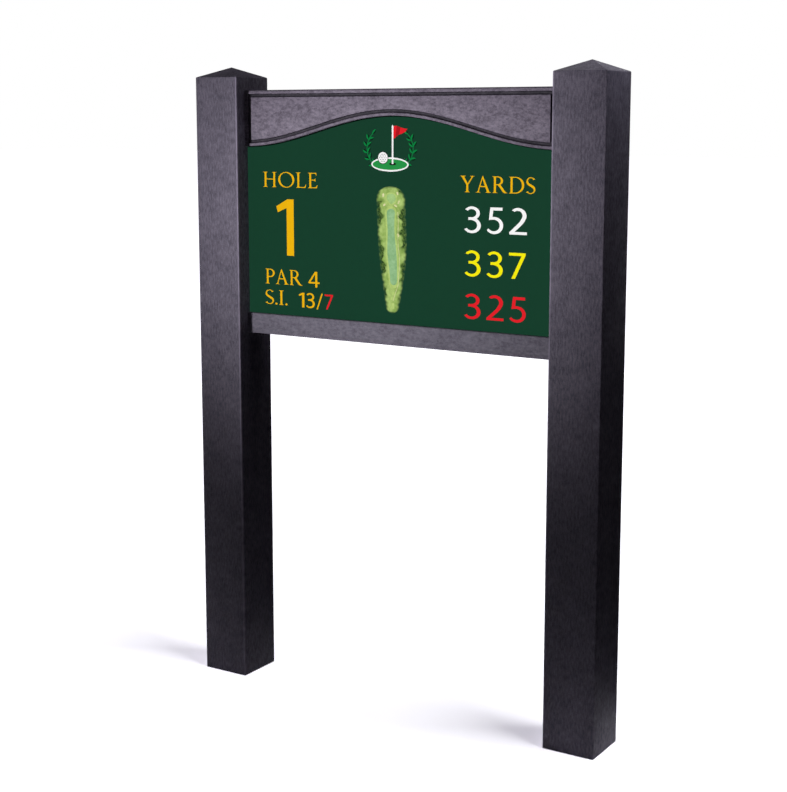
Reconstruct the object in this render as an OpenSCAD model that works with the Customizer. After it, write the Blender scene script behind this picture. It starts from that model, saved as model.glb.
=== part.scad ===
// Golf tee sign: two square posts in solid recycled plastic carry an arched head rail,
// a plain bottom rail and a printed panel that is held in slots on all four sides.
// X runs along the sign, the printed front faces -Y and Z is up.
// The origin is midway between the posts, on the ground.

/* [Posts] */
// Width and depth of a square post
post_w = 100; // [90:1:140]
// Height of a post up to the eaves of its pointed top
post_h = 1200; // [1000:5:1800]
// Rise of the four-sided point above the eaves
cap_rise = 20; // [8:1:40]
// Radius of the eased upright edges
post_r = 2.5; // [1:0.5:6]

/* [Bay between the posts] */
// Clear width between the posts
bay_w = 672; // [500:2:1200]
// Height of panel that shows beside the posts
sight_h = 325; // [250:5:600]
// Drop from the eaves to the top of the head rail
rail_drop = 25; // [12:1:60]

/* [Rails] */
// Thickness of both rails, front to back
rail_t = 50; // [46:1:60]
// Height of the head rail where it meets the posts
head_h = 107; // [98:1:140]
// Height of the arch above the foot of the head rail
arch_rise = 58; // [20:1:66]
// Height of the bottom rail
sill_h = 40; // [36:1:70]
// Radius of the eased long edges of the rails
rail_r = 2; // [1:0.5:3]

/* [Routed border of the head rail] */
// Width of the bead left along the top edge
bead_top = 7.5; // [5:0.5:10]
// Width of the bead left along the arch
bead_arch = 5.5; // [4:0.5:8]
// Width of the flat left beside each post
bead_end = 9; // [6:0.5:14]
// Width of the routed groove
rout_w = 6; // [3:0.5:8]
// Depth of the routed groove
rout_d = 4; // [2:0.5:6]

/* [Printed panel] */
// Thickness of the composite sheet
panel_t = 4; // [3:0.5:6]
// Thickness of the printed film on its front
film_t = 0.3; // [0.2:0.1:0.5]
// Distance of the print behind the front of the rails
print_setback = 8; // [7:0.5:12]
// Depth of panel edge that is hidden in a slot
panel_lip = 12; // [8:1:16]
// Gap left in the slots for the panel to grow when warm
grow_gap = 1.5; // [0.5:0.5:3]
// Clearance in front of the print and behind the sheet
slot_clear = 0.2; // [0.1:0.1:0.4]

/* [Tenons] */
// Length of a rail's tenon
tenon_l = 40; // [30:1:60]
// Thickness of a tenon
tenon_t = 30; // [20:1:36]
// Least plastic between a tenon and the edge or slot next to it
tenon_land = 4; // [3:0.5:5]
// Clearance round a tenon
tenon_clear = 0.3; // [0.2:0.1:0.6]
// Gap between the end of a tenon and its mortise
mortise_gap = 1; // [0.5:0.5:3]

/* [Screws, washers and caps] */
// Outer diameter of a coach screw
screw_d = 6; // [5:0.5:8]
// Length of a screw under its head
screw_l = 70; // [62:1:80]
// Length of plain shank under the head
shank_l = 24; // [16:1:40]
// Depth of the screw's thread
thread_h = 0.8; // [0.4:0.1:1.2]
// Distance from one thread crest to the next
thread_pitch = 2.6; // [2:0.2:4]
// Width of the hexagon head across its flats
head_af = 10; // [8:0.5:11]
// Height of the hexagon head
head_k = 4; // [3:0.5:6]
// Outer diameter of a washer
washer_d = 12; // [11:0.5:14]
// Thickness of a washer
washer_t = 1.6; // [1:0.2:2]
// Diameter of the counterbore that a screw is sunk in
sink_d = 18; // [17:0.5:24]
// Depth of the counterbore
sink_deep = 10; // [9:0.5:14]
// Thickness of the face of a plug cap
cap_face = 2; // [1:0.5:2.5]
// Thickness of the skirt of a plug cap
cap_wall = 1.2; // [0.8:0.1:1.4]
// Distance of a cap's face below the back of the post
cap_inset = 0.4; // [0.2:0.1:1]
// Clearance round a screw, in a washer and round a cap
fit_clear = 0.15; // [0.1:0.05:0.3]
// Gap left beyond the point of a screw
point_gap = 1; // [0.5:0.5:3]

/* [Hidden] */
$fn = 48;

// A cut runs this far past the face that it opens
past = 1;
// Steps along the arch and along a quarter round
arch_steps = 56;
round_steps = 8;

// Places across the sign
bay_x = bay_w / 2;
post_x = bay_x + post_w / 2;
screw_x = bay_x + tenon_l / 2;
panel_x = bay_x + panel_lip;

// Heights
head_z = post_h - rail_drop;
foot_z = head_z - head_h;
sill_z = foot_z - sight_h;
base_z = sill_z - sill_h;
panel_z = sill_z - panel_lip;

// Tenons, as their lowest and highest z
head_tenon = [foot_z + panel_lip + grow_gap + tenon_land, head_z - tenon_land];
sill_tenon = [base_z + tenon_land, panel_z - tenon_land];

// Screws, as a name and a height: two through a head tenon and one through a sill tenon
PLACES = [
    ["upper", head_tenon[1] - (head_tenon[1] - head_tenon[0]) / 4],
    ["middle", head_tenon[0] + (head_tenon[1] - head_tenon[0]) / 4],
    ["lower", (sill_tenon[0] + sill_tenon[1]) / 2]
];
SIDES = [["left", -1], ["right", 1]];

// Depths, front to back
rail_y = rail_t / 2;
print_y = -rail_y + print_setback;
panel_y = print_y + film_t;
slot_y = print_y - slot_clear;
slot_w = film_t + panel_t + 2 * slot_clear;
sink_y = post_w / 2 - sink_deep;
seat_y = sink_y + washer_t;
point_y = seat_y - screw_l;
bore_d = screw_d + 2 * fit_clear;

// Height of the arch at x, level at the crown and where it meets the posts
function arch_z(x) = foot_z + arch_rise * (1 + cos(180 * min(abs(x) / bay_x, 1))) / 2;
// Slope of the arch at x
function arch_slope(x) = -sign(x) * arch_rise / 2 * sin(180 * min(abs(x) / bay_x, 1)) * PI / bay_x;
// Point of the arch at x, moved square to the curve by d
function arch_point(x, d) =
    let (s = arch_slope(x), n = sqrt(1 + s * s)) [x - d * s / n, arch_z(x) + d / n];
// The arch as a list of points from -reach to reach, moved up by d
function arch_line(reach, d) =
    [for (i = [0 : arch_steps]) let (x = reach * (2 * i / arch_steps - 1)) arch_point(x, d)];
function lifted_arch(lift) =
    [for (i = [0 : arch_steps]) let (x = bay_x * (2 * i / arch_steps - 1)) [x, arch_z(x) + lift]];
// A quarter round of radius r about c, from angle a to a + 90
function quarter(c, r, a) =
    [for (i = [0 : round_steps]) c + r * [cos(a + 90 * i / round_steps), sin(a + 90 * i / round_steps)]];
// A box outline with rounded corners
function eased_box(x0, y0, x1, y1, r) = concat(
    quarter([x1 - r, y1 - r], r, 0), quarter([x0 + r, y1 - r], r, 90),
    quarter([x0 + r, y0 + r], r, 180), quarter([x1 - r, y0 + r], r, 270)
);

// An outline drawn in x and z, made solid from y backwards by t
module upright(y, t) {
    translate([0, y + t, 0]) rotate([90, 0, 0]) linear_extrude(t) children();
}

// An outline drawn in y and z, made solid along x over a length l
module lengthwise(l) {
    translate([-l / 2, 0, 0]) rotate([90, 0, 90]) linear_extrude(l) children();
}

// A round bar along +y from y over a length l
module bar_y(x, y, z, d, l) {
    translate([x, y, z]) rotate([-90, 0, 0]) cylinder(d = d, h = l);
}

// Outline of one slope of the post's top, drawn across the post
module gable() {
    run = post_w / 2 + past;
    low = post_h - past * cap_rise / (post_w / 2);
    polygon([[-run, -past], [run, -past], [run, low], [0, post_h + cap_rise], [-run, low]]);
}

// Square blank with eased upright edges, cut to a four-sided point
module post_blank() {
    intersection() {
        linear_extrude(post_h + cap_rise)
            polygon(eased_box(-post_w / 2, -post_w / 2, post_w / 2, post_w / 2, post_r));
        lengthwise(post_w + 2 * past) gable();
        rotate([0, 0, 90]) lengthwise(post_w + 2 * past) gable();
    }
}

// Hole for a tenon, open at the inner face of the right-hand post
module mortise(zone) {
    translate([bay_x - past, -tenon_t / 2 - tenon_clear, zone[0] - tenon_clear])
        cube([
            tenon_l + mortise_gap + past,
            tenon_t + 2 * tenon_clear,
            zone[1] - zone[0] + 2 * tenon_clear
        ]);
}

// Slot for the upright edge of the panel, at the inner face of the right-hand post
module post_slot() {
    translate([bay_x - past, slot_y, panel_z])
        cube([past + panel_lip + grow_gap, slot_w, foot_z + panel_lip + grow_gap - panel_z]);
}

// Holes for the screws, washers and caps, from the back of the right-hand post
module screw_holes() {
    for (p = PLACES) {
        bar_y(screw_x, sink_y, p[1], sink_d, sink_deep + past);
        bar_y(screw_x, point_y - point_gap, p[1], bore_d, sink_y + past - point_y + point_gap);
    }
}

// The right-hand post, and mirrored the left-hand one
module post() {
    color("#4a474e") difference() {
        translate([post_x, 0, 0]) post_blank();
        mortise(head_tenon);
        mortise(sill_tenon);
        post_slot();
        screw_holes();
    }
}

module right_post() {
    post();
}

module left_post() {
    mirror([1, 0, 0]) post();
}

// The tenons at both ends of a rail, drilled for the screws that cross them
module tenons(zone) {
    for (s = SIDES) {
        x = s[1] > 0 ? bay_x - past : -bay_x - tenon_l;
        translate([x, -tenon_t / 2, zone[0]]) cube([tenon_l + past, tenon_t, zone[1] - zone[0]]);
    }
}

module tenon_bores(first, last) {
    for (s = SIDES, i = [first : last])
        bar_y(s[1] * screw_x, -tenon_t / 2 - past, PLACES[i][1], bore_d, tenon_t + 2 * past);
}

// Face of the head rail inside its border, drawn in by d from the border's outer line
module field(d) {
    side = bay_x - bead_end - d;
    top = head_z - bead_top - d;
    intersection() {
        translate([-side, foot_z]) square([2 * side, top - foot_z]);
        polygon(concat(arch_line(bay_x, bead_arch + d), [[bay_x, head_z], [-bay_x, head_z]]));
    }
}

// Head rail: level on top, arched below, with a groove routed round its front face
module head_rail() {
    color("#6f6b76") difference() {
        union() {
            intersection() {
                upright(-rail_y - past, rail_t + 2 * past)
                    polygon(concat(lifted_arch(0), [[bay_x, head_z + past], [-bay_x, head_z + past]]));
                lengthwise(bay_w + 2 * past)
                    polygon(eased_box(-rail_y, foot_z - head_h, rail_y, head_z, rail_r));
            }
            tenons(head_tenon);
        }
        upright(-rail_y - past, rout_d + past) difference() {
            field(0);
            field(rout_w);
        }
        upright(slot_y, slot_w) polygon(concat(
            lifted_arch(panel_lip + grow_gap), [[bay_x, foot_z - past], [-bay_x, foot_z - past]]
        ));
        tenon_bores(0, 1);
    }
}

// Bottom rail: a plain bar with a slot that the panel stands in
module bottom_rail() {
    color("#6c6974") difference() {
        union() {
            lengthwise(bay_w) polygon(eased_box(-rail_y, base_z, rail_y, sill_z, rail_r));
            tenons(sill_tenon);
        }
        translate([-bay_x - past, slot_y, panel_z])
            cube([bay_w + 2 * past, slot_w, panel_lip + past]);
        tenon_bores(2, 2);
    }
}

// Outline of the panel: square below, and cut to the arch above
module panel_outline() {
    polygon(concat(
        [[-panel_x, panel_z], [-panel_x, foot_z + panel_lip]],
        lifted_arch(panel_lip),
        [[panel_x, foot_z + panel_lip], [panel_x, panel_z]]
    ));
}

module sign_panel() {
    color("#b9bcbe") upright(panel_y, panel_t) panel_outline();
}

module print_film() {
    color("#153b2c") upright(print_y, film_t) panel_outline();
}

// Coach screw: hexagon head, plain shank, then a thread down to a point
module screw(x, z) {
    crest = screw_d / 2;
    root = crest - thread_h;
    turns = floor((screw_l - shank_l - screw_d) / thread_pitch);
    tail = screw_l - screw_d;
    color("#a9adb2") translate([x, seat_y, z]) rotate([90, 0, 0]) {
        translate([0, 0, -head_k]) rotate([0, 0, 30]) cylinder(d = head_af / cos(30), h = head_k, $fn = 6);
        rotate_extrude() polygon(concat(
            [[0, -head_k / 2], [crest, -head_k / 2], [crest, shank_l]],
            [for (i = [0 : turns - 1], k = [0, 1])
                [k == 0 ? root : crest, shank_l + thread_pitch * (i + (k == 0 ? 0.25 : 0.75))]],
            [[root, tail - thread_pitch / 4], [root, tail], [0, screw_l]]
        ));
    }
}

module washer(x, z) {
    color("#a9adb2") difference() {
        bar_y(x, sink_y, z, washer_d, washer_t);
        bar_y(x, sink_y - past, z, bore_d, washer_t + 2 * past);
    }
}

// Plug cap: a cup pushed into the counterbore until its rim stands on the floor
module cap(x, z) {
    cup = sink_d - 2 * fit_clear;
    reach = sink_deep - cap_inset;
    color("#38363b") difference() {
        bar_y(x, sink_y, z, cup, reach);
        bar_y(x, sink_y - past, z, cup - 2 * cap_wall, reach - cap_face + past);
    }
}

left_post();
right_post();
head_rail();
bottom_rail();
sign_panel();
print_film();
for (s = SIDES, p = PLACES) {
    tail = str(s[0], "_", p[0]);
    x = s[1] * screw_x;
    screw(x, p[1]);
    washer(x, p[1]);
    cap(x, p[1]);
}
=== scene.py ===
import math

import bmesh
import bpy
from mathutils import Matrix, Vector


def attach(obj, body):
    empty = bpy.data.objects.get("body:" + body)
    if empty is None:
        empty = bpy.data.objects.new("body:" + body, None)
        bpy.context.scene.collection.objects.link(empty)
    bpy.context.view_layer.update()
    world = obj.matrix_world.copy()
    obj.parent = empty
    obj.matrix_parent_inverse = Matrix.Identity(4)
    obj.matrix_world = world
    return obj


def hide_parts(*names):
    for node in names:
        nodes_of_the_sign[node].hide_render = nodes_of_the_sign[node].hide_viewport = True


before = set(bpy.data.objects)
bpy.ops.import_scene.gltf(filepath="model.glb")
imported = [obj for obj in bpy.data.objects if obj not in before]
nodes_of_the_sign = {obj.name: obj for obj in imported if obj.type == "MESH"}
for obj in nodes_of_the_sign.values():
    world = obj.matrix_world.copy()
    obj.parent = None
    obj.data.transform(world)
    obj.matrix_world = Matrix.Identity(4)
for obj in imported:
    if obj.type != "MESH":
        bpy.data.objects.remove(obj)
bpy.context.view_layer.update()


# The two posts
# Square posts in solid charcoal recycled plastic with an upright grain, sawn to a shallow four-sided
# point. Their edges are eased, and the front ones beside the board are painted lighter, as rubbed wear
# and a painted highlight. Each is mortised for the rails, slotted for the panel and counterbored at the
# back for three screws.
bay = 0.336
post_wide = 0.100
eaves = 1.200
point_rise = 0.020
post_ease = 0.0016
post_x = bay + post_wide / 2
tenon_long = 0.040
tenon_thick = 0.030
head_tenon = (1.0855, 1.1710)
sill_tenon = (0.7070, 0.7270)
mortise_play = 0.0003
overcut = 0.001
hair = 0.001
slot_front = -0.0172
slot_back = -0.0125
slot_deep = 0.0135
slot_foot = 0.731
slot_head = 1.0815
screw_x = bay + tenon_long / 2
screw_heights = {"upper": 1.149625, "middle": 1.106875, "lower": 0.717000}
screw_hole = 0.00315
screw_end = -0.0295
sink_floor = 0.040
sink_mouth = 0.052
sink_radius = 0.009
sink_chamfer = 0.0005
sink_step = 0.0013
# How much lighter the inner front edges of the posts are painted, for rubbed wear and a painted highlight.
rub_and_highlight_lift = 1.9


def tone(red, green, blue):
    """A finish's colour from its screen values, 0 to 255."""
    values = [c / 255 for c in (red, green, blue)]
    return [c / 12.92 if c < 0.04045 else ((c + 0.055) / 1.055) ** 2.4 for c in values] + [1]


def take(piece):
    """Selects one piece and nothing else."""
    bpy.ops.object.select_all(action="DESELECT")
    piece.select_set(True)
    bpy.context.view_layer.objects.active = piece


def settle():
    """Puts the selected piece's place, turn and size into its mesh."""
    bpy.ops.object.transform_apply(location=True, rotation=True, scale=True)


def copy_of(piece, name):
    """A copy of a piece with a mesh of its own."""
    twin = piece.copy()
    twin.data = piece.data.copy()
    twin.name = name
    bpy.context.scene.collection.objects.link(twin)
    return twin


def start_edit(piece):
    """Opens one piece for editing with nothing on it selected."""
    take(piece)
    bpy.ops.object.mode_set(mode="EDIT")
    bpy.ops.mesh.select_mode(type="VERT")
    bpy.ops.mesh.select_all(action="DESELECT")


def pick(piece, kind, wanted):
    """Selects the faces or edges of the open piece whose place passes a test."""
    bpy.ops.mesh.select_mode(type=kind)
    bpy.ops.mesh.select_all(action="DESELECT")
    shell = bmesh.from_edit_mesh(piece.data)
    if kind == "FACE":
        for face in shell.faces:
            face.select_set(wanted(face.calc_center_median(), face.normal))
    if kind == "EDGE":
        for edge in shell.edges:
            edge.select_set(wanted(edge.verts[0].co, edge.verts[1].co))
    shell.select_flush_mode()
    bmesh.update_edit_mesh(piece.data)


def face_outwards():
    """Turns all the faces of the open piece outwards."""
    bpy.ops.mesh.select_all(action="SELECT")
    bpy.ops.mesh.normals_make_consistent(inside=False)


def end_edit():
    """Closes the open piece."""
    bpy.ops.object.mode_set(mode="OBJECT")


def block(low, high):
    """A squared block from its lowest to its highest corner."""
    middle = [(a + b) / 2 for a, b in zip(low, high)]
    bpy.ops.object.select_all(action="DESELECT")
    bpy.ops.mesh.primitive_cube_add(size=1, location=middle, scale=[b - a for a, b in zip(low, high)])
    settle()
    return bpy.context.object


def drill(x, z, y_from, y_to, radius):
    """A round cutter or plug along y, from one depth to another."""
    bpy.ops.object.select_all(action="DESELECT")
    bpy.ops.mesh.primitive_cylinder_add(
        vertices=48, radius=radius, depth=y_to - y_from, location=(x, (y_from + y_to) / 2, z),
        rotation=(math.pi / 2, 0, 0))
    settle()
    return bpy.context.object


def cut(piece, cutter, how="DIFFERENCE"):
    """Cuts a piece with another, or joins that on, and takes the cutter away."""
    take(piece)
    joint = piece.modifiers.new("Boolean", "BOOLEAN")
    joint.operation = how
    joint.object = cutter
    joint.solver = "EXACT"
    bpy.ops.object.modifier_apply(modifier=joint.name)
    bpy.data.objects.remove(cutter)


def smooth(piece, angle=32):
    """Smooth shading, with the edges sharper than the angle left crisp."""
    take(piece)
    bpy.ops.object.shade_smooth_by_angle(angle=math.radians(angle))


def clad(piece, *finishes):
    """Gives a piece its finishes in place of any that it has."""
    piece.data.materials.clear()
    for finish in finishes:
        piece.data.materials.append(finish)


right_post = block((bay, -post_wide / 2, 0), (bay + post_wide, post_wide / 2, eaves))
right_post.name = "post_right"
start_edit(right_post)
pick(right_post, "FACE", lambda centre, normal: normal.z > 0.5)
bpy.ops.mesh.extrude_region_move(TRANSFORM_OT_translate={"value": (0, 0, point_rise)})
bpy.ops.mesh.merge(type="CENTER")
pick(right_post, "EDGE", lambda a, b: hair < max(a.z, b.z) < eaves + hair)
bpy.ops.mesh.bevel(offset=post_ease, segments=5, affect="EDGES")
end_edit()
for low, high in (head_tenon, sill_tenon):
    cut(right_post, block((bay - overcut, -tenon_thick / 2 - mortise_play, low - mortise_play),
                          (bay + tenon_long + overcut, tenon_thick / 2 + mortise_play, high + mortise_play)))
cut(right_post, block((bay - overcut, slot_front, slot_foot), (bay + slot_deep, slot_back, slot_head)))
for height in screw_heights.values():
    cut(right_post, drill(screw_x, height, sink_floor, sink_mouth, sink_radius))
    cut(right_post, drill(screw_x, height, screw_end, sink_floor + overcut, screw_hole))
start_edit(right_post)
pick(right_post, "EDGE", lambda a, b: (
    min(a.y, b.y) > post_wide / 2 - 1e-4 and (a - b).length < sink_step and any(
        abs(math.hypot(a.x - screw_x, a.z - h) - sink_radius) < 1e-5 for h in screw_heights.values())))
bpy.ops.mesh.bevel(offset=sink_chamfer, segments=2)
end_edit()
smooth(right_post, 24)

left_post = copy_of(right_post, "post_left")
left_post.scale.x = -1
take(left_post)
settle()
start_edit(left_post)
face_outwards()
end_edit()


def feed(tree, node, inputs):
    """Sets or links the inputs of a node."""
    for socket, value in inputs.items():
        if isinstance(value, bpy.types.NodeSocket):
            tree.links.new(value, node.inputs[socket])
        else:
            node.inputs[socket].default_value = value


def wired(tree, kind, settings, inputs):
    """Adds a node, sets it and feeds its inputs."""
    node = tree.nodes.new(kind)
    for setting, value in settings.items():
        setattr(node, setting, value)
    feed(tree, node, inputs)
    return node


def start_finish(name):
    """A new finish, with its tree of nodes, its shader and the place that its patterns follow."""
    finish = bpy.data.materials.new(name)
    finish.use_nodes = True
    tree = finish.node_tree
    return finish, tree, tree.nodes["Principled BSDF"], tree.nodes.new("ShaderNodeTexCoord").outputs["Object"]


def drawn_out(tree, place, along):
    """A place scaled along each axis, which draws a pattern out."""
    return wired(tree, "ShaderNodeMapping", {}, {"Vector": place, "Scale": along}).outputs[0]


def noise(tree, place, scale, detail, roughness):
    """A cloudy noise."""
    return wired(tree, "ShaderNodeTexNoise", {}, {
        "Vector": place, "Scale": scale, "Detail": detail, "Roughness": roughness}).outputs[0]


def ramp(tree, value, low, high, first=0.0, last=1.0):
    """Goes from the first to the last level as a value goes from low to high."""
    return wired(tree, "ShaderNodeMapRange", {}, {
        "Value": value, "From Min": low, "From Max": high, "To Min": first, "To Max": last}).outputs[0]


def maths(tree, operation, *values):
    """The result of an operation on one, two or three values."""
    return wired(tree, "ShaderNodeMath", {"operation": operation}, dict(enumerate(values))).outputs[0]


def blended(tree, level, first, last):
    """A blend from the first colour to the last."""
    return wired(tree, "ShaderNodeMix", {"data_type": "RGBA"}, {
        "Factor": level, 6: first, 7: last}).outputs[2]


def relief(tree, height, strength, distance):
    """The fine relief that a height gives a surface."""
    return wired(tree, "ShaderNodeBump", {}, {
        "Height": height, "Strength": strength, "Distance": distance}).outputs[0]


def shade_of(colour, part):
    """A lighter or darker shade of a colour."""
    return [c * part for c in colour[:3]] + [1]


def grained_plastic(name, dark, light, along, size, highlit_rubbed_edges=False):
    """Extruded recycled plastic: a grain along one axis, a stipple, faint clouds and, where asked, inner
    front edges painted lighter as rubbed wear and a painted highlight.
    """
    finish, tree, shader, place = start_finish(name)
    grain = noise(tree, drawn_out(tree, place, along), size, 4, 0.55)
    stipple = noise(tree, place, 460, 3, 0.6)
    clouds = noise(tree, place, 34, 4, 0.6)
    texture = maths(tree, "MULTIPLY_ADD", stipple, 0.5, grain)
    shading = maths(tree, "MULTIPLY_ADD", clouds, 0.5, texture)
    colour = blended(tree, ramp(tree, shading, 0.76, 1.24), dark, light)
    # Rubbed wear and a painted highlight: the inner front edges are blended towards a lighter colour.
    if highlit_rubbed_edges:
        parts = wired(tree, "ShaderNodeSeparateXYZ", {}, {0: place}).outputs
        inward = maths(tree, "SUBTRACT", post_x, maths(tree, "ABSOLUTE", parts[0]))
        corner = maths(tree, "SUBTRACT", inward, parts[1])
        wear_and_highlight = maths(tree, "MULTIPLY", ramp(tree, corner, 0.0962, 0.0984, 0.0, 1.50), clouds)
        colour = blended(tree, wear_and_highlight, colour, shade_of(light, rub_and_highlight_lift))
    feed(tree, shader, {
        "Base Color": colour, "Roughness": ramp(tree, shading, 0.7, 1.3, 0.64, 0.50),
        "Normal": relief(tree, texture, 0.35, 0.0006), "IOR": 1.5, "Specular IOR Level": 0.10})
    return finish


post_finish = grained_plastic("charcoal_post_plastic", tone(70, 66, 78), tone(110, 104, 119),
                              (1, 1, 0.32), 300, highlit_rubbed_edges=True)
for post, node in ((left_post, "left_post"), (right_post, "right_post")):
    clad(post, post_finish)
    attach(post, "root")
    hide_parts(node)


# The head rail
# A thick board of the same plastic, level along its top, where its eased edges carry painted shade, and
# sawn to an arch below. A router has run a round-bottomed groove round its front, which leaves a slim
# bead outside it; the groove is painted darker as painted shade. The panel stands in a slot along the
# arch, and each end has a tenon.
head_top = 1.175
head_foot = 1.068
arch_rise = 0.058
rail_half = 0.025
rail_ease = 0.0022
rail_grain = (0.55, 1, 1)
bead = {"top": 0.0075, "arch": 0.0055, "end": 0.0090}
arch_steps = 96
groove = [(-1.25, 0.00), (-0.70, 0.12), (-0.25, 0.52), (-0.05, 1.22), (0.10, 2.42), (0.45, 3.32),
          (1.25, 3.85), (2.25, 4.00), (3.75, 4.00), (4.75, 3.85), (5.55, 3.32), (5.90, 2.42),
          (6.05, 1.22), (6.25, 0.52), (6.70, 0.12), (7.25, 0.00)]
ring_start = 0.00002
# Where the groove's painted shade begins and ends in depth, and how far it reaches past the groove's edges.
groove_shade_front = -0.0246
groove_shade_back = -0.0205
groove_shade_spread = 0.0005
slot_drop = 0.004
tenon_root = 0.004
tenon_drill = 0.02


def arch(x):
    """Height of the arch at x."""
    return head_foot + arch_rise * (1 + math.cos(math.pi * min(abs(x) / bay, 1))) / 2


def arch_lean(x):
    """How much further up than square a distance from the arch is at x."""
    return math.hypot(1, arch_rise * math.pi / (2 * bay) * math.sin(math.pi * min(abs(x) / bay, 1)))


def upright_grid(name, across, up):
    """A flat grid that faces forwards and goes from -1 to 1 across and up."""
    bpy.ops.object.select_all(action="DESELECT")
    bpy.ops.mesh.primitive_grid_add(x_subdivisions=across, y_subdivisions=up, size=2,
                                    location=(0, 0, 0), rotation=(math.pi / 2, 0, 0))
    settle()
    sheet = bpy.context.object
    sheet.name = name
    return sheet


def arched_sheet(name, half, y, top, lift):
    """A flat strip facing forwards, with a level top and the arch, moved up, below."""
    sheet = upright_grid(name, arch_steps, 1)
    for corner in sheet.data.vertices:
        x = corner.co.x * half
        corner.co = (x, y, top if corner.co.z > 0 else arch(x) + lift)
    return sheet


def thicken(sheet, depth):
    """Opens a flat sheet and draws it out along y."""
    start_edit(sheet)
    bpy.ops.mesh.select_all(action="SELECT")
    bpy.ops.mesh.extrude_region_move(TRANSFORM_OT_translate={"value": (0, depth, 0)})
    face_outwards()


def lay_ring(piece, inward, down):
    """Lays the inset outline of the rail's front at a distance inside the bead and a depth."""
    outline = [corner for corner in bmesh.from_edit_mesh(piece.data).verts if corner.select]
    side = bay - bead["end"] - inward
    for upper in (True, False):
        row = [c for c in outline if (c.co.z > (head_top + arch(c.co.x)) / 2) == upper]
        for i, corner in enumerate(sorted(row, key=lambda c: c.co.x)):
            x = side * (2 * i / arch_steps - 1)
            z = arch(x) + (bead["arch"] + inward) * arch_lean(x)
            corner.co = (x, down - rail_half, head_top - bead["top"] - inward if upper else z)
    bmesh.update_edit_mesh(piece.data)


head_rail = arched_sheet("rail_head", bay, -rail_half, head_top, 0)
thicken(head_rail, 2 * rail_half)
pick(head_rail, "EDGE", lambda a, b: abs(a.y - b.y) < 1e-6 and abs(a.x - b.x) > 1e-4 and (
    (a.z > head_top - 1e-6 and b.z > head_top - 1e-6)
    or (abs(a.z - arch(a.x)) < 1e-6 and abs(b.z - arch(b.x)) < 1e-6)))
bpy.ops.mesh.bevel(offset=rail_ease, segments=4, affect="EDGES")
pick(head_rail, "FACE", lambda centre, normal: normal.y < -0.999 and centre.y < 0)
for inward, down in groove:
    bpy.ops.mesh.inset(thickness=ring_start, depth=0)
    lay_ring(head_rail, inward / 1000, down / 1000)
end_edit()

slot_cutter = arched_sheet("slot_cutter", bay + overcut, slot_front, head_foot - slot_drop, slot_deep)
thicken(slot_cutter, slot_back - slot_front)
end_edit()
cut(head_rail, slot_cutter)
for side in (-1, 1):
    ends = sorted((side * (bay - tenon_root), side * (bay + tenon_long)))
    tenon = block((ends[0], -tenon_thick / 2, head_tenon[0]), (ends[1], tenon_thick / 2, head_tenon[1]))
    for place in ("upper", "middle"):
        cut(tenon, drill(side * screw_x, screw_heights[place], -tenon_drill, tenon_drill, screw_hole))
    cut(head_rail, tenon, "UNION")
smooth(head_rail)
rail_finish = grained_plastic("charcoal_rail_plastic", tone(76, 70, 82), tone(120, 112, 127), rail_grain, 260)
# Painted shade: a darker copy of the rail plastic for the faces inside the routed groove.
groove_shade_finish = grained_plastic("charcoal_rail_groove_shade", tone(25, 23, 30), tone(46, 42, 51), rail_grain, 300)
# Painted shade: a darker copy of the rail plastic for the eased top edges.
top_edge_shade_finish = grained_plastic("charcoal_rail_top_edge_shade", tone(52, 48, 57), tone(80, 74, 86), rail_grain, 300)
clad(head_rail, rail_finish, groove_shade_finish, top_edge_shade_finish)
for face in head_rail.data.polygons:
    x, y, z = face.center
    # The faces inside the routed groove take the groove's painted shade.
    in_groove_shade = groove_shade_front < y < groove_shade_back and abs(x) < bay - bead["end"] + groove_shade_spread
    if in_groove_shade and arch(x) + bead["arch"] - groove_shade_spread < z < head_top - bead["top"] + groove_shade_spread:
        face.material_index = 1
    # The eased top edges take their painted shade.
    if z > head_top - rail_ease and hair < abs(face.normal.y) < 1 - hair and abs(x) < bay:
        face.material_index = 2
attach(head_rail, "root")
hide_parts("head_rail")


# The bottom rail
# A plain bar of the same plastic with eased long edges. The panel stands in the slot along its top
# and its tenons are screwed into the posts from behind.
bottom_rail = nodes_of_the_sign["bottom_rail"]
bar_finish = grained_plastic("charcoal_bar_plastic", tone(85, 81, 93), tone(113, 109, 122), rail_grain, 260)
clad(bottom_rail, bar_finish)
smooth(bottom_rail)


# The sign panel
# A stiff composite sheet with a smooth grey lacquered skin. It is held in the slots all round and
# carries the print on its front. Its plain back shows behind the sign.
def lacquer(name, colour, roughness, level):
    """A coil-coated skin with rolling marks along it and a faint unevenness."""
    finish, tree, shader, place = start_finish(name)
    marks = noise(tree, drawn_out(tree, place, (0.05, 1, 1)), 240, 3, 0.6)
    haze = noise(tree, place, 9, 4, 0.6)
    feed(tree, shader, {
        "Base Color": blended(tree, ramp(tree, haze, 0.3, 0.7), shade_of(colour, 0.93), colour),
        "Roughness": ramp(tree, marks, 0.3, 0.7, roughness - 0.05, roughness + 0.05),
        "Normal": relief(tree, marks, 0.12, 0.0002), "Specular IOR Level": level})
    return finish


sign_panel = nodes_of_the_sign["sign_panel"]
clad(sign_panel, lacquer("grey_sheet_lacquer", tone(176, 179, 182), 0.42, 0.4))


# The print film
# A vinyl film over the whole front of the sheet, printed a flat dark green under a matt laminate.
ink_gloss = 0.03


def laminate(tree, shader, place):
    """Lays a matt laminate with a slight orange peel over a print, and returns its mottle."""
    mottle = noise(tree, place, 70, 3, 0.5)
    peel = noise(tree, place, 480, 2, 0.5)
    feed(tree, shader, {
        "Roughness": ramp(tree, mottle, 0.3, 0.7, 0.70, 0.76), "Normal": relief(tree, peel, 0.08, 0.0001),
        "Specular IOR Level": ink_gloss})
    return mottle


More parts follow.
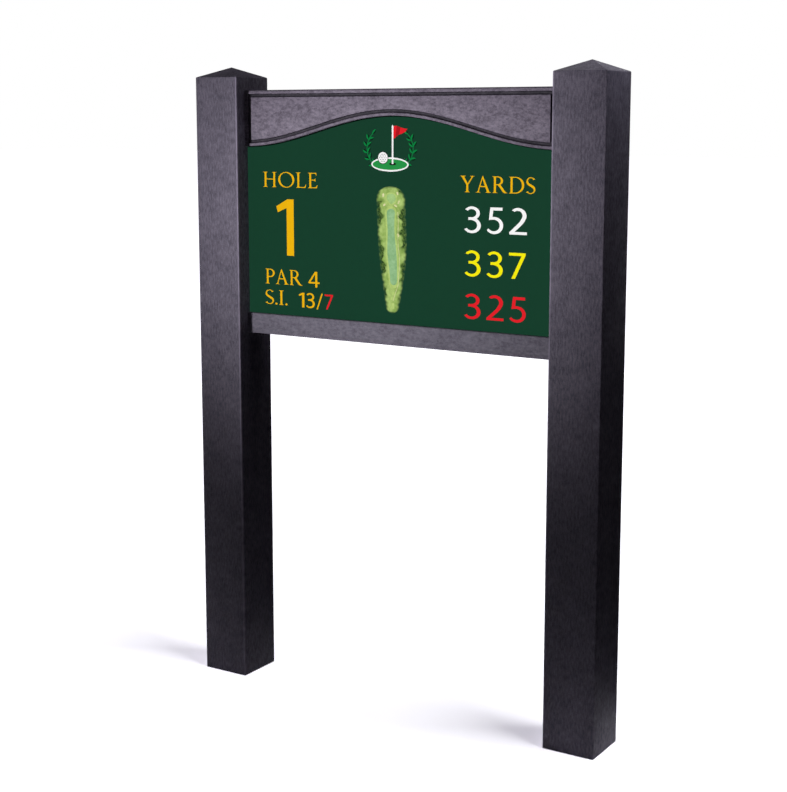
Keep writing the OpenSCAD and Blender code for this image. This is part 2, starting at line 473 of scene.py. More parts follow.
def printed(name, colour):
    """Laminated printing ink, an even colour with the slightest mottle."""
    finish, tree, shader, place = start_finish(name)
    mottle = laminate(tree, shader, place)
    tint = blended(tree, ramp(tree, mottle, 0.3, 0.7), shade_of(colour, 0.95), colour)
    feed(tree, shader, {"Base Color": tint})
    return finish


film_green = tone(20, 60, 42)
film = nodes_of_the_sign["print_film"]
clad(film, printed("green_print", film_green))


# The words on the left and the right
# HOLE, PAR, S.I. and YARDS in classic serif capitals, printed in gold on the green. They are flat
# prints on the film, drawn here as outlines in hundredths of the capital height.
film_front = -0.017
ink_thick = 0.00006
prints = []
gold_ink = printed("gold_print", tone(240, 182, 12))


def bend(x, z, wide, high, first, last, steps=12):
    """Points along part of an ellipse, from one angle to another in degrees."""
    turn = [math.radians(first + (last - first) * i / steps) for i in range(steps + 1)]
    return [(x + wide * math.cos(a), z + high * math.sin(a)) for a in turn]


def round_turn(count):
    """Angles all the way round."""
    return [2 * math.pi * i / count for i in range(count)]


def foot(x, wide):
    """The foot of a stem with its two serifs, from left to right."""
    left = [(x, 10), (x - 1.2, 5), (x - 4, 2.8), (x - 8, 2), (x - 8, 0)]
    right = [(2 * x + wide - a, b) for a, b in reversed(left)]
    return left + right


def head(x, wide):
    """The head of a stem with its two serifs, from right to left."""
    return [(2 * x + wide - a, 100 - b) for a, b in foot(x, wide)]


def ribbon(line, widths):
    """The outline of a stroke that follows a line and has a width at each point."""
    left = []
    right = []
    for i, (x, z) in enumerate(line):
        before = line[max(i - 1, 0)]
        after = line[min(i + 1, len(line) - 1)]
        run = math.hypot(after[0] - before[0], after[1] - before[1])
        along = ((after[0] - before[0]) / run, (after[1] - before[1]) / run)
        left.append((x - along[1] * widths[i] / 2, z + along[0] * widths[i] / 2))
        right.append((x + along[1] * widths[i] / 2, z - along[0] * widths[i] / 2))
    return left + right[::-1]


foot_left = [(8, 10), (6.8, 5), (4, 2.8), (0, 2), (0, 0)]
head_left = [(0, 100), (0, 98), (4, 97.2), (6.8, 95), (8, 90)]
s_line = bend(27, 75.5, 19, 22, 28, 248, 22) + bend(26, 24.5, 21, 22, 68, -150, 22)
s_steps = [i / (len(s_line) - 1) for i in range(len(s_line))]
s_widths = [4.6 + 8.4 * math.exp(-((t - 0.5) / 0.2) ** 2) + 9 * math.exp(-((min(t, 1 - t)) / 0.03) ** 2)
            for t in s_steps]
serif_letters = {
    "H": (81, [foot(8, 11) + [(19, 50), (62, 50)] + foot(62, 11) + head(62, 11) + [(62, 55.5), (19, 55.5)]
               + head(8, 11)]),
    "O": (98, [bend(49, 50, 49, 51.5, 0, 352.5, 47),
               [(49 + 37 * math.cos(a) - 6 * math.sin(a), 50 + 46 * math.sin(a) + 4 * math.cos(a))
                for a in round_turn(48)]]),
    "L": (61, [foot_left + [(56, 0), (61, 21), (58.5, 21.5), (54, 12), (48, 6.5), (40, 5.2), (24, 5.2),
                            (19, 9)] + head(8, 11)]),
    "E": (57, [foot_left + [(52, 0), (57, 20), (54.5, 20.5), (50, 11.5), (44, 6.2), (36, 5.2), (23, 5.2),
                            (19, 9), (19, 50), (36, 50), (40, 48.5), (42, 43), (44.5, 43), (44.5, 63),
                            (42, 63), (40, 57), (36, 55.5), (19, 55.5), (19, 91), (22, 94.8), (38, 94.8),
                            (43.5, 93.5), (47, 88), (48.5, 81), (51, 81), (49.5, 100)] + head_left]),
    "P": (59, [foot(8, 11) + [(19, 45.5)] + bend(30, 72, 29, 28.3, -100, 90) + head_left,
               [(19, 51)] + bend(29, 72.6, 18.5, 22.3, -90, 90) + [(19, 95)]]),
    "R": (82, [foot(8, 11) + [(19, 47.5), (30, 47.5), (55, 9), (60, 3), (67, 0), (82, 0), (82, 2),
                              (76, 3.8), (70, 9), (45, 48.5)] + bend(30, 74, 27.5, 26.3, -62, 90) + head_left,
               [(19, 53)] + bend(28.5, 74.2, 17, 21, -90, 90) + [(19, 95.2)]]),
    "D": (81, [foot_left + bend(34, 50, 47, 50, -90, 90, 20) + head_left,
               [(19, 5.5)] + bend(33, 50, 36, 44.7, -90, 90, 20) + [(19, 94.5)]]),
    "A": (83, [[(0, 0), (25, 0), (25, 2), (19, 3.2), (16.8, 8), (23.1, 34), (51.95, 34), (60, 9), (59.5, 4),
                (54, 2), (54, 0), (83, 0), (83, 2), (77.5, 3.5), (73.5, 8), (40, 100), (38.8, 102), (35, 98),
                (11, 9), (7, 3.5), (0, 2)],
               [(25, 40), (36.2, 83), (50, 40)]]),
    "Y": (78, [foot(33, 11) + [(44, 46), (67.5, 90), (71, 96), (78, 98), (78, 100), (54, 100), (54, 98),
                               (60.5, 96.5), (61.5, 91), (41, 53.5), (22.8, 91), (23, 96.5), (29, 98),
                               (29, 100), (0, 100), (0, 98), (5.5, 96), (9.5, 90), (33, 46)]]),
    "S": (50, [ribbon(s_line, s_widths)]),
    "I": (27, [foot(8, 11) + head(8, 11)]),
    ".": (13, [bend(6.5, 6, 6.5, 6.5, 0, 345, 23)]),
}


def print_flat(name, outlines, layer, ink):
    """A flat print on the film: outlines in metres across and up, filled, with holes left open."""
    drawing = bpy.data.curves.new(name, "CURVE")
    drawing.dimensions = "2D"
    drawing.fill_mode = "BOTH"
    drawing.extrude = ink_thick / 2
    for outline in outlines:
        spline = drawing.splines.new("POLY")
        spline.points.add(len(outline) - 1)
        for point, (x, z) in zip(spline.points, outline):
            point.co = (x, z, 0, 1)
        spline.use_cyclic_u = True
    piece = bpy.data.objects.new(name, drawing)
    bpy.context.scene.collection.objects.link(piece)
    take(piece)
    bpy.ops.object.convert(target="MESH")
    piece = bpy.context.object
    piece.rotation_euler = (math.pi / 2, 0, 0)
    piece.location = (0, film_front - (layer - 0.5) * ink_thick, 0)
    settle()
    start_edit(piece)
    bpy.ops.mesh.select_all(action="SELECT")
    bpy.ops.mesh.remove_doubles(threshold=1e-7)
    face_outwards()
    end_edit()
    clad(piece, ink)
    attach(piece, "root")
    prints.append(piece)


def set_line(name, text, letters, gap, left, right, low, high, ink):
    """Sets a line of letters and stretches it between two sides, at one capital height."""
    pen = 0
    line = []
    for letter in text:
        wide, outlines = letters[letter]
        line += [[(pen + x, z) for x, z in outline] for outline in outlines]
        pen += wide + gap
    across = (right - left) / (pen - gap)
    up = (high - low) / 100
    print_flat(name, [[(left + x * across, low + z * up) for x, z in outline] for outline in line], 1, ink)


set_line("word_hole", "HOLE", serif_letters, 11, -0.2988, -0.1708, 0.9900, 1.0190, gold_ink)
set_line("word_par", "PAR", serif_letters, 6, -0.2963, -0.2080, 0.8020, 0.8310, gold_ink)
set_line("word_stroke_index", "S.I.", serif_letters, 9, -0.2982, -0.2440, 0.7616, 0.7900, gold_ink)
set_line("word_yards", "YARDS", serif_letters, 8, 0.1404, 0.2896, 0.9910, 1.0200, gold_ink)


# The numbers
# The number of the hole, its par, its stroke index and three lengths in yards, in plain open
# figures: gold, white, yellow and red. They are flat prints like the words.
white_ink = printed("white_print", tone(250, 250, 250))
yellow_ink = printed("yellow_print", tone(250, 238, 12))
red_ink = printed("red_print", tone(228, 30, 40))
figures = {
    "1": (38, [[(22.5, 0), (38, 0), (38, 100), (24.5, 100), (0, 87), (3.2, 76.5), (22.5, 84.5)]]),
    "2": (62, [[(0, 0), (62, 0), (62, 10.5), (18.5, 10.5), (38, 31), (50, 45)]
               + bend(30.5, 71.5, 29.5, 29.5, -25, 138, 22)
               + bend(28.8, 72, 17.2, 18.2, 130, -30, 20) + [(36, 48), (24, 34.5), (0, 8.5)]]),
    "3": (60, [[p for p in bend(27.5, 28.3, 32.5, 29.8, -148, 75, 30) if p[1] < 53.6]
               + [p for p in bend(27.5, 75.2, 28.5, 25.8, -75, 148, 30) if p[1] > 53.4]
               + bend(26.5, 75.2, 17, 15.6, 146, -86, 20) + [(14.5, 59.4), (14.5, 49), (25, 49)]
               + bend(26, 28.6, 20.5, 19.9, 82, -146, 22)]),
    "4": (66, [[(40.5, 0), (52.5, 0), (52.5, 24), (66, 24), (66, 34), (52.5, 34), (52.5, 100), (38.5, 100),
                (0, 32), (0, 24), (40.5, 24)],
               [(40.5, 34), (12.5, 34), (40.5, 85)]]),
    "5": (58, [bend(26, 31.2, 32, 32.7, -146, 96, 26) + [(20, 63.4), (22, 88.5), (55, 88.5), (55, 100),
                                                          (12, 100), (6.5, 51.2), (13, 52.8)]
               + bend(24, 31.4, 21.6, 22, 96, -146, 24)]),
    "7": (60, [[(0, 100), (0, 88.8), (45.5, 88.8), (9.5, 0), (22.5, 0), (60, 91), (60, 100)]]),
    "/": (44, [[(0, -6), (9, -6), (44, 103), (35, 103)]]),
}
set_line("number_hole", "1", figures, 0, -0.2684, -0.2272, 0.8587, 0.9673, gold_ink)
set_line("number_par", "4", figures, 0, -0.1938, -0.1678, 0.8005, 0.8305, gold_ink)
set_line("number_index", "13/", figures, 11, -0.2169, -0.1603, 0.7600, 0.7886, gold_ink)
set_line("number_index_red", "7", figures, 0, -0.1563, -0.1370, 0.7600, 0.7885, red_ink)
set_line("yards_white", "352", figures, 22, 0.1492, 0.2748, 0.9190, 0.9655, white_ink)
set_line("yards_yellow", "337", figures, 22, 0.1503, 0.2728, 0.8410, 0.8870, yellow_ink)
set_line("yards_red", "325", figures, 22, 0.1504, 0.2746, 0.7640, 0.8090, red_ink)


# The emblem at the crown of the arch
# A plain golfing badge in white, red, green and black: a flagstick with a pennant, a ball beside
# it, a cup in a patch of turf, and a spray of leaves at each side.
black_ink = printed("black_print", tone(14, 16, 15))
leaf_ink = printed("leaf_print", tone(8, 128, 62))
leaf_shade_ink = printed("leaf_shade_print", tone(6, 32, 20))
turf_ink = printed("turf_print", tone(38, 146, 70))
badge_x = -0.0085
badge_z = 1.0665
spray_wide = 50
spray_high = 41
stem_wide = 1.5
leaf_size = 0.86
leaf_swing = 44
pairs = 5


def moved(outline, x, z, size=1.0, angle=0.0):
    """An outline given in millimetres, sized, turned and put in its place on the panel."""
    c = math.cos(math.radians(angle)) * size / 1000
    s = math.sin(math.radians(angle)) * size / 1000
    return [(x + a * c - b * s, z + a * s + b * c) for a, b in outline]


def print_badge(name, outline, layer, ink, x=badge_x, z=badge_z):
    """Prints one shape of the badge, given in millimetres from a point of it."""
    print_flat(f"emblem_{name}", [moved(outline, x, z)], layer, ink)


leaf = [(0, 0), (2.6, 3.2), (3.7, 6.8), (3.0, 10.6), (0, 14.6), (-3.0, 10.6), (-3.7, 6.8), (-2.6, 3.2)]
leaf_shade = [(0.4, 1.6), (2.6, 3.2), (3.7, 6.8), (3.0, 10.6), (0, 14.6)]
for side, label in ((-1, "left"), (1, "right")):
    leaves = []
    shades = []
    for i in range(pairs + 1):
        turn = math.radians(-46 + 17 * i)
        x = badge_x + side * spray_wide * math.cos(turn) / 1000
        z = badge_z + spray_high * math.sin(turn) / 1000
        lie = math.degrees(math.atan2(spray_wide * math.sin(turn), spray_high * math.cos(turn)))
        for swing in (-leaf_swing, leaf_swing) if i < pairs else (0,):
            leaves.append(moved(leaf, x, z, leaf_size, side * (lie + swing)))
            shades.append(moved(leaf_shade, x, z, leaf_size, side * (lie + swing)))
    print_flat(f"emblem_{label}_leaves", leaves, 1, leaf_ink)
    print_flat(f"emblem_{label}_leaf_shades", shades, 2, leaf_shade_ink)
    stem = [(side * a, b) for a, b in bend(0, 0, spray_wide, spray_high, -76, 40, 24)]
    print_badge(f"{label}_stem", ribbon(stem, [stem_wide] * len(stem)), 3, leaf_ink)
print_badge("shade", bend(0, -29, 40.5, 13, 0, 352, 44), 4, white_ink)
print_badge("turf", bend(0, -29, 37.5, 10, 0, 352, 44), 5, turf_ink)
print_badge("cup", bend(6, -28, 7.5, 2.4, 0, 345, 23), 6, black_ink)
stick = [(4.3, -28), (7.7, -28), (7.7, 41), (6, 43), (4.3, 41)]
print_badge("stick", stick, 7, white_ink)
pennant = [(7.7, 41), (15, 41.5), (23, 38.5), (31, 36.5), (38, 36), (33, 30.5), (27, 27.5), (18, 24.5),
           (12, 19.5), (7.7, 18)]
pennant_shade = [(15, 41.5), (23, 38.5), (20, 25.2), (18, 24.5), (12, 19.5)]
print_badge("pennant", pennant, 6, red_ink)
print_badge("pennant_fold", pennant_shade, 7, printed("red_fold_print", tone(176, 20, 30)))
ball_x = badge_x - 0.0150
ball_z = badge_z - 0.0170
ball_edge = 11.6
ball_round = 10.4
dimple_step = 3.6
dimple_rise = 3.2
dimple_round = 0.8
dimples_end = 8.4
print_badge("ball_edge", bend(0, 0, ball_edge, ball_edge, 0, 350, 35), 6, black_ink, ball_x, ball_z)
print_badge("ball", bend(0, 0, ball_round, ball_round, 0, 350, 35), 7, white_ink, ball_x, ball_z)
dimples = []
for row in range(-2, 3):
    for column in range(-2, 3):
        x = (column + (row % 2) / 2) * dimple_step
        z = row * dimple_rise
        if math.hypot(x, z) < dimples_end:
            dimples.append(moved(bend(x, z, dimple_round, dimple_round, 0, 330, 11), ball_x, ball_z))
print_flat("emblem_dimples", dimples, 8, black_ink)


# The plan of the hole
# A printed plan seen from above: rough that fades into the green print, woods along both sides, a
# fairway, the green with bunkers round it, a path and the tees. It is a course of no particular place.
plan_x = -0.0050
plan_low = 0.7620
plan_high = 0.9980
plan_narrow = 0.0140
plan_widening = 0.0180
plan_foot_round = 0.0130
plan_head_round = 0.0230
plan_tip = 0.0006
soft_edge = 0.0070
belt_gap = 0.0022
woods_level = 0.86
woods = ((-1, 0.30, 0.60, 0.0060), (-1, 0.68, 0.90, 0.0066), (1, 0.24, 0.42, 0.0050), (1, 0.50, 0.84, 0.0074),
         (-1, 0.12, 0.22, 0.0040), (1, 0.93, 0.99, 0.0070), (1, 0.09, 0.15, 0.0034))


def step_up(value, low, high):
    """Rises smoothly from 0 to 1 as a value goes from low to high."""
    part = min(1, max(0, (value - low) / (high - low)))
    return part * part * (3 - 2 * part)


def plan_line(t):
    """The middle of the hole, from the tee at 0 to the back of the green at 1."""
    return plan_x + 0.0030 * math.sin(3.6 * t + 0.5), plan_low + (plan_high - plan_low) * t


def plan_half(t):
    """Half the width of the rough at a place along the hole, rounded off at both ends."""
    half = plan_narrow + plan_widening * math.sin(math.pi / 2 * min(1, t / 0.62)) ** 1.2
    length = plan_high - plan_low
    end = max(0, min(t * length / plan_foot_round, (1 - t) * length / plan_head_round, 1))
    return max(plan_tip, half * math.sqrt(1 - (1 - end) ** 2))


def course_print(name):
    """A print of rough and woods seen from above: mottled grass, tree crowns and a soft edge."""
    finish, tree, shader, place = start_finish(name)
    fade = wired(tree, "ShaderNodeAttribute", {"attribute_name": "fade"}, {}).outputs["Fac"]
    wooded = wired(tree, "ShaderNodeAttribute", {"attribute_name": "woods"}, {}).outputs["Fac"]
    patches = noise(tree, place, 95, 5, 0.6)
    grass = blended(tree, ramp(tree, patches, 0.36, 0.64), tone(138, 168, 84), tone(176, 202, 118))
    grass = blended(tree, ramp(tree, wooded, 0.0, 0.9, 0.0, 0.85), grass, tone(78, 110, 46))
    crown = wired(tree, "ShaderNodeTexVoronoi", {}, {"Vector": place, "Scale": 330}).outputs["Distance"]
    trees = blended(tree, ramp(tree, crown, 0.14, 0.80), tone(92, 122, 58), tone(28, 50, 24))
    scatter = noise(tree, place, 210, 3, 0.6)
    stand = ramp(tree, maths(tree, "MULTIPLY_ADD", scatter, 1.3, wooded), 1.18, 1.42)
    tint = blended(tree, stand, grass, trees)
    feed(tree, shader, {
        "Base Color": blended(tree, fade, tint, film_green), "Roughness": 0.73,
        "Specular IOR Level": ink_gloss})
    return finish


def turf_print(name, dark, light, size):
    """A print of mown grass, sand or gravel seen from above, with a faint mottle."""
    finish, tree, shader, place = start_finish(name)
    laminate(tree, shader, place)
    patches = noise(tree, place, size, 5, 0.65)
    feed(tree, shader, {"Base Color": blended(tree, ramp(tree, patches, 0.36, 0.66), dark, light)})
    return finish


rough = upright_grid("plan_rough", 34, 118)
for corner in rough.data.vertices:
    middle, height = plan_line((corner.co.z + 1) / 2)
    corner.co = (middle + corner.co.x * plan_half((corner.co.z + 1) / 2), film_front, height)
thicken(rough, -ink_thick)
end_edit()
fade = rough.data.attributes.new("fade", "FLOAT", "POINT")
wooded = rough.data.attributes.new("woods", "FLOAT", "POINT")
for i, corner in enumerate(rough.data.vertices):
    x, y, z = corner.co
    t = (z - plan_low) / (plan_high - plan_low)
    off = x - plan_line(t)[0]
    ragged = 0.0010 * math.sin(310 * z + 2) + 0.0008 * math.sin(690 * z + 90 * x)
    inside = min(plan_half(t) - abs(off), (z - plan_low) * 1.1, (plan_high - z) * 1.1)
    fade.data[i].value = 1 - step_up(inside + ragged * step_up(inside, 0, 0.002), 0, soft_edge)
    level = 0
    for side, first, last, wide in woods:
        girth = wide * (0.85 + 0.30 * math.sin(47 * t + 3 * side) + 0.18 * math.sin(101 * t))
        belt = plan_half(t) - belt_gap - 0.75 * girth
        across = 1 - step_up(abs(off * side - belt), 0.35 * girth, 1.50 * girth)
        lengthwise = step_up(t, first - 0.02, first + 0.04) * (1 - step_up(t, last - 0.04, last + 0.02))
        level = max(level, woods_level * across * lengthwise)
    wooded.data[i].value = level
clad(rough, course_print("rough_print"))
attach(rough, "root")
prints.append(rough)

apron_print = turf_print("apron_print", tone(166, 192, 104), tone(188, 212, 128), 150)
fairway_print = turf_print("fairway_print", tone(128, 172, 118), tone(156, 196, 146), 90)
green_print = turf_print("putting_green_print", tone(150, 188, 116), tone(176, 208, 138), 150)
sand_print = turf_print("bunker_print", tone(206, 204, 150), tone(232, 228, 184), 240)


def mown(first, last, half, waver, steps=44):
    """The outline of a mown strip along the hole, with rounded ends and a wavering edge."""
    left = []
    right = []
    for i in range(1, steps):
        part = (1 - math.cos(math.pi * i / steps)) / 2
        t = first + (last - first) * part
        end = min(part, 1 - part) * (last - first) * (plan_high - plan_low) / half
        wide = half * math.sqrt(1 - (1 - min(1, end)) ** 2)
        x, z = plan_line(t)
        x += 0.0022 * math.sin(7.0 * t + 0.6)
        left.append((x - wide * (1 + waver * math.sin(17 * t)), z))
        right.append((x + wide * (1 + waver * math.sin(13 * t + 2)), z))
    return right + left[::-1]


print_flat("plan_apron", [mown(0.20, 0.845, 0.0118, 0.10)], 2, apron_print)
print_flat("plan_fairway", [mown(0.225, 0.825, 0.0086, 0.14)], 3, fairway_print)
green_x, green_z = plan_line(0.905)
for name, grow, layer, ink in (("collar", 0.0028, 3, apron_print), ("green", 0, 4, green_print)):
    putting = [(green_x + 0.0012 + (0.0088 + grow) * math.cos(a) * (1 + 0.12 * math.cos(2 * a + 0.6)),
                green_z + (0.0094 + grow) * math.sin(a) * (1 + 0.10 * math.sin(3 * a)))
               for a in round_turn(40)]
    print_flat(f"plan_{name}", [putting], layer, ink)
bunkers = []
for along, off, wide, high, lean in ((0.853, -0.0142, 3.6, 1.8, 35), (0.928, -0.0160, 1.9, 3.8, -12),
                                     (0.877, 0.0170, 1.8, 3.6, -22), (0.945, 0.0150, 1.9, 3.2, 30),
                                     (0.848, 0.0100, 3.2, 1.7, -25), (0.62, 0.0135, 1.8, 3.2, 15)):
    x, z = plan_line(along)
    shape = [(wide * math.cos(a) * (1 + 0.22 * math.cos(2 * a + lean)), high * math.sin(a))
             for a in round_turn(20)]
    bunkers.append(moved(shape, x + off, z, 1.0, lean))
print_flat("plan_bunkers", bunkers, 5, sand_print)
path_steps = 60
path_wide = 0.9
path_off = 13.6
path = []
for i in range(path_steps + 1):
    t = 0.10 + 0.70 * i / path_steps
    x, z = plan_line(t)
    path.append((x * 1000 + path_off * step_up(t, 0.08, 0.26) + 1.2 * math.sin(19 * t), z * 1000))
print_flat("plan_path", [moved(ribbon(path, [path_wide] * len(path)), 0, 0)], 4, sand_print)
tee_half = 3.4
tees = []
for along, off, high, lean in ((0.060, 0.0006, 5.4, 4), (0.118, -0.0012, 3.0, -6), (0.160, 0.0010, 2.6, 8)):
    x, z = plan_line(along)
    corners = [(-tee_half, -high), (tee_half, -high), (tee_half, high), (-tee_half, high)]
    tees.append(moved(corners, x + off, z, 1.0, lean))
print_flat("plan_tees", tees, 3, apron_print)


# The screws and washers
# Zinc-plated coach screws, sunk into the backs of the posts over plain washers. They pass through
# the tenons and hold the whole sign together.
def zinc(name):
    """Bright zinc plating, dulled in patches."""
    finish, tree, shader, place = start_finish(name)
    patches = noise(tree, place, 320, 4, 0.6)
    tint = blended(tree, ramp(tree, patches, 0.35, 0.65), tone(150, 153, 158), tone(186, 188, 190))
    feed(tree, shader, {
        "Base Color": tint, "Roughness": ramp(tree, patches, 0.35, 0.65, 0.42, 0.28), "Metallic": 1.0})
    return finish


zinc_finish = zinc("zinc_plating")
for name, node in nodes_of_the_sign.items():
    if name.startswith(("screw_", "washer_")):
        clad(node, zinc_finish)


# The plug caps
# Moulded black cups pressed into the counterbores over the screws. Each has a soft rim, a slightly
# dished face and the small mark of its moulding gate in the middle.
cap_radius = 0.00885
cap_wall = 0.0012
cap_top = 0.0496
cap_face = 0.0020
cap_rim = 0.0007
cap_steps = ((0.0012, 0), (0.0010, -0.00018), (0.0035, -0.00012), (0.0008, 0), (0.0002, -0.00025))


def moulded(name, dark, light):
    """Moulded plastic with a fine spark-eroded grain."""
    finish, tree, shader, place = start_finish(name)
    grain = noise(tree, place, 1300, 3, 0.6)
    feed(tree, shader, {
        "Base Color": blended(tree, ramp(tree, grain, 0.3, 0.7), dark, light), "Roughness": 0.42,
        "Normal": relief(tree, grain, 0.25, 0.0001), "Specular IOR Level": 0.4})
    return finish


first_cap = drill(0, 0, sink_floor, cap_top, cap_radius)
start_edit(first_cap)
pick(first_cap, "EDGE", lambda a, b: min(a.y, b.y) > cap_top - 1e-6)
bpy.ops.mesh.bevel(offset=cap_rim, segments=4, affect="EDGES")
pick(first_cap, "FACE", lambda centre, normal: normal.y > 0.99)
for inward, down in cap_steps:
    bpy.ops.mesh.inset(thickness=inward, depth=down)
pick(first_cap, "FACE", lambda centre, normal: normal.y < -0.99)
bpy.ops.mesh.inset(thickness=cap_wall, depth=0)
bpy.ops.mesh.extrude_region_move(TRANSFORM_OT_translate={"value": (0, cap_top - cap_face - sink_floor, 0)})
end_edit()
smooth(first_cap, 40)
clad(first_cap, moulded("black_cap_plastic", tone(44, 42, 47), tone(56, 54, 59)))
for side, sign in (("left", -1), ("right", 1)):
    for place, height in screw_heights.items():
        cap = copy_of(first_cap, f"plug_cap_{side}_{place}")
        cap.data.transform(Matrix.Translation((sign * screw_x, 0, height)))
        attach(cap, "root")
        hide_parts(f"cap_{side}_{place}")
bpy.data.objects.remove(first_cap)


# The studio floor
# A wide white floor that keeps the sign's shadow and goes out to plain white away from it. It throws
# light back at the sign only from a strip before the feet of the posts and from beside the right one.
floor_wide = 80
floor_seen = (10.0, 10.0, 10.25, 1)
floor_glow = 0.43
shade_lift = 0.19
glow_tint = (0.985, 0.965, 1.05, 1)
white_out = 1.04
strip_y = -0.18
strip_bright = 6.90
side_bright = 4.30
unlit = 0.05
card_x = 0.60


def sees_background(tree):
    """1 for the camera, for reflections and for what is seen through glass, else 0."""
    path = tree.nodes.new("ShaderNodeLightPath").outputs
    either = maths(tree, "MAXIMUM", path["Is Camera Ray"], path["Is Glossy Ray"])
    return maths(tree, "MAXIMUM", either, path["Is Transmission Ray"])


bpy.ops.object.select_all(action="DESELECT")
bpy.ops.mesh.primitive_plane_add(size=floor_wide, location=(0, 0, 0))
floor = bpy.context.object
floor.name = "studio_floor"
floor_paint = bpy.data.materials.new("white_floor")
floor_paint.use_nodes = True
tree = floor_paint.node_tree
tree.nodes.clear()
seen = sees_background(tree)
place = tree.nodes.new("ShaderNodeTexCoord").outputs["Object"]
parts = wired(tree, "ShaderNodeSeparateXYZ", {}, {0: place}).outputs
off_strip = maths(tree, "ABSOLUTE", maths(tree, "SUBTRACT", parts[1], strip_y))
front_bounce = ramp(tree, off_strip, 0.06, 0.18, strip_bright, unlit)
by_posts = ramp(tree, maths(tree, "ABSOLUTE", parts[0]), 0.25, bay)
feet_bounce = maths(tree, "MULTIPLY", front_bounce, by_posts)
right_bounce = ramp(tree, parts[0], 0.52, card_x, side_bright, unlit)
beside = maths(tree, "GREATER_THAN", parts[0], bay + post_wide)
bounce = wired(tree, "ShaderNodeMix", {"data_type": "FLOAT"}, {
    0: beside, 2: feet_bounce, 3: right_bounce}).outputs[0]
lit = wired(tree, "ShaderNodeBsdfDiffuse", {}, {"Color": blended(tree, seen, bounce, floor_seen)}).outputs[0]
away = wired(tree, "ShaderNodeVectorMath", {"operation": "LENGTH"}, {0: place}).outputs["Value"]
# The floor's glow rises towards the left: painted light that makes the left post's shadow on the floor paler.
near_glow = ramp(tree, parts[0], 0.30, -0.50, floor_glow, floor_glow + shade_lift)
reach = ramp(tree, away, 1.2, 4.0, near_glow, white_out)
glow = wired(tree, "ShaderNodeEmission", {}, {
    "Color": glow_tint, "Strength": maths(tree, "MULTIPLY", seen, reach)}).outputs[0]
both = wired(tree, "ShaderNodeAddShader", {}, {0: lit, 1: glow}).outputs[0]
wired(tree, "ShaderNodeOutputMaterial", {}, {"Surface": both})
clad(floor, floor_paint)


# The dark cards
# Black cards stand beside and behind the sign, out of the camera's sight, as they would in a studio,
# so that the shaded sides of the posts don't mirror the white surround.
above_floor = 0.001
card_black = (0.01, 0.01, 0.01, 1)
card_paint = bpy.data.materials.new("black_card")
card_paint.use_nodes = True
tree = card_paint.node_tree
feed(tree, tree.nodes["Principled BSDF"], {"Base Color": card_black, "Specular IOR Level": 0})
for name, low, high in (("card_right", (card_x, -0.60, above_floor), (card_x, 1.60, 1.36)),
                        ("card_back", (-1.20, 0.20, above_floor), (card_x, 0.20, 0.70)),
                        ("card_top", (-1.60, 0.45, 1.22), (-0.42, 0.45, 2.40))):
    bpy.ops.object.select_all(action="DESELECT")
    bpy.ops.mesh.primitive_plane_add(size=2, location=(0, 0, 0))
    card = bpy.context.object
    card.name = name
    for corner in card.data.vertices:
        across = (corner.co.x + 1) / 2
        up = (corner.co.y + 1) / 2
        corner.co = (low[0] + (high[0] - low[0]) * across, low[1] + (high[1] - low[1]) * across,
                     low[2] + (high[2] - low[2]) * up)
    clad(card, card_paint)
    card.visible_camera = False
    card.visible_shadow = False


# The white surround
# Seen by the camera and in reflections as plain white, it gives the sign only a little soft light.
soft_fill = 0.008
surround = bpy.data.worlds.new("white_surround")
bpy.context.scene.world = surround
surround.use_nodes = True
tree = surround.node_tree
level = ramp(tree, sees_background(tree), 0.0, 1.0, soft_fill, 1.0)
feed(tree, tree.nodes["Background"], {"Color": (1, 1, 1, 1), "Strength": level})


# The lamps
# A soft key lamp low at the front left lights the posts and rails and fades out down the posts. The
# board and the left post's inner side each have a lamp of their own. A wide one overhead draws the
# shadows on the floor, a small one catches the top of the right post, and a soft one lights the back.
def add_lamp(kind, name, place, energy, target=None, **settings):
    """Adds a lamp that the camera doesn't see, sets it and turns it to face a point."""
    bpy.ops.object.light_add(type=kind, location=place)
    lamp = bpy.context.object
    lamp.name = name
    lamp.data.energy = energy
    for setting, value in settings.items():
        setattr(lamp.data, setting, value)
    lamp.visible_camera = False
    if target:
        away = lamp.location - Vector(target)
        lamp.rotation_euler = away.to_track_quat("Z", "Y").to_euler()
    return lamp


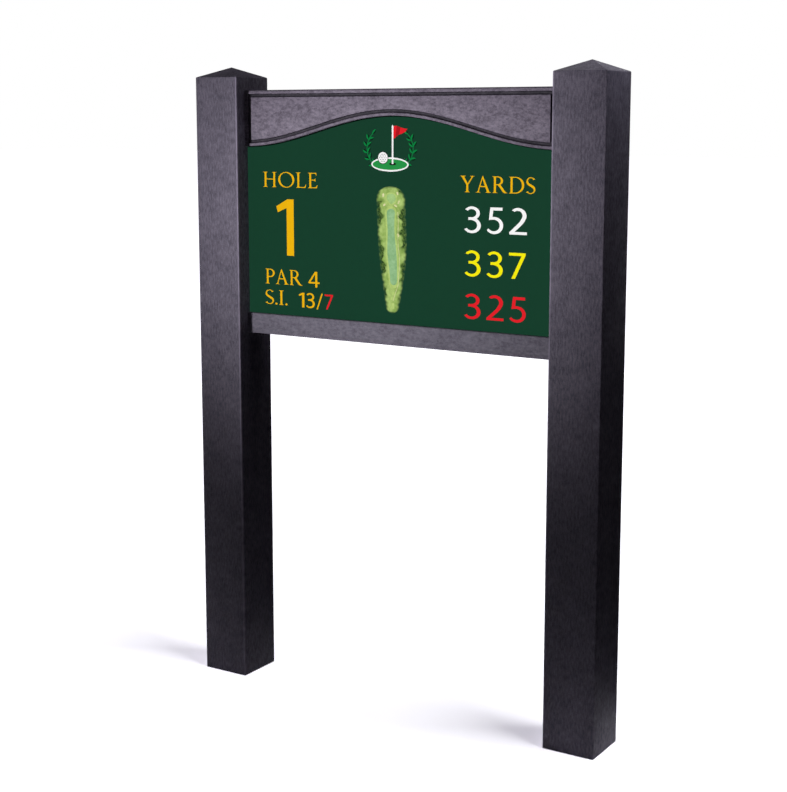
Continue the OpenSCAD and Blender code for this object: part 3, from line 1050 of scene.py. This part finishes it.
def light_only(lamp, pieces, state, shading=()):
    """Has a lamp light only some pieces, or all but those, and be shaded by only some."""
    lit = bpy.data.collections.new(f"{lamp.name}_lights")
    for piece in pieces:
        lit.objects.link(piece)
    for entry in lit.collection_objects:
        entry.light_linking.link_state = state
    lamp.light_linking.receiver_collection = lit
    if shading:
        shades = bpy.data.collections.new(f"{lamp.name}_shaded_by")
        for piece in shading:
            shades.objects.link(piece)
        lamp.light_linking.blocker_collection = shades


rails = [head_rail, bottom_rail]
key = add_lamp("SPOT", "key_lamp", (-1.75, -3.15, 0.40), 765, (-0.033, -0.03, 1.030),
               color=(1.0, 0.985, 1.0), shadow_soft_size=0.25, spot_size=math.radians(19.0), spot_blend=1.0)
light_only(key, [film, *prints], "EXCLUDE")
board_lamp = add_lamp("SUN", "board_lamp", (-0.6, -4.0, 2.2), 3.2, (0, 0, 0.95), angle=math.radians(3))
light_only(board_lamp, [film, *prints], "INCLUDE", rails)
add_lamp("AREA", "overhead_lamp", (2.9, 0.05, 8.3), 54, (0, 0, 0), shape="RECTANGLE", size=2.8, size_y=0.6)
add_lamp("POINT", "corner_lamp", (0.620, 0.02, 1.40), 2.0, color=(0.93, 0.95, 1.0), shadow_soft_size=0.08)
inner_lamp = add_lamp("SPOT", "inner_lamp", (0.90, -0.62, 0.92), 7.0, (-bay, -0.04, 0.92),
                      color=(0.95, 0.96, 1.0), shadow_soft_size=0.02, spot_size=math.radians(17.5),
                      spot_blend=0.35)
light_only(inner_lamp, [left_post], "INCLUDE", rails)
back_lamp = add_lamp("AREA", "back_lamp", (-1.5, 3.2, 1.10), 90, (0, 0.03, 0.70),
                     shape="RECTANGLE", size=1.4, size_y=1.4)
light_only(back_lamp, [floor], "EXCLUDE")


# The camera
# It stands to the right of the sign, a little below the tops of the posts, and looks slightly down.
bpy.ops.object.camera_add(location=(1.4833, -2.3810, 1.1199),
                          rotation=(math.radians(90 - 8.628), 0, math.radians(32.119)))
camera = bpy.context.object
camera.name = "camera"
camera.data.lens = 68.723
camera.data.sensor_width = 36
camera.data.shift_y = -0.06
bpy.context.scene.camera = camera
bpy.context.scene.view_settings.view_transform = "Standard"
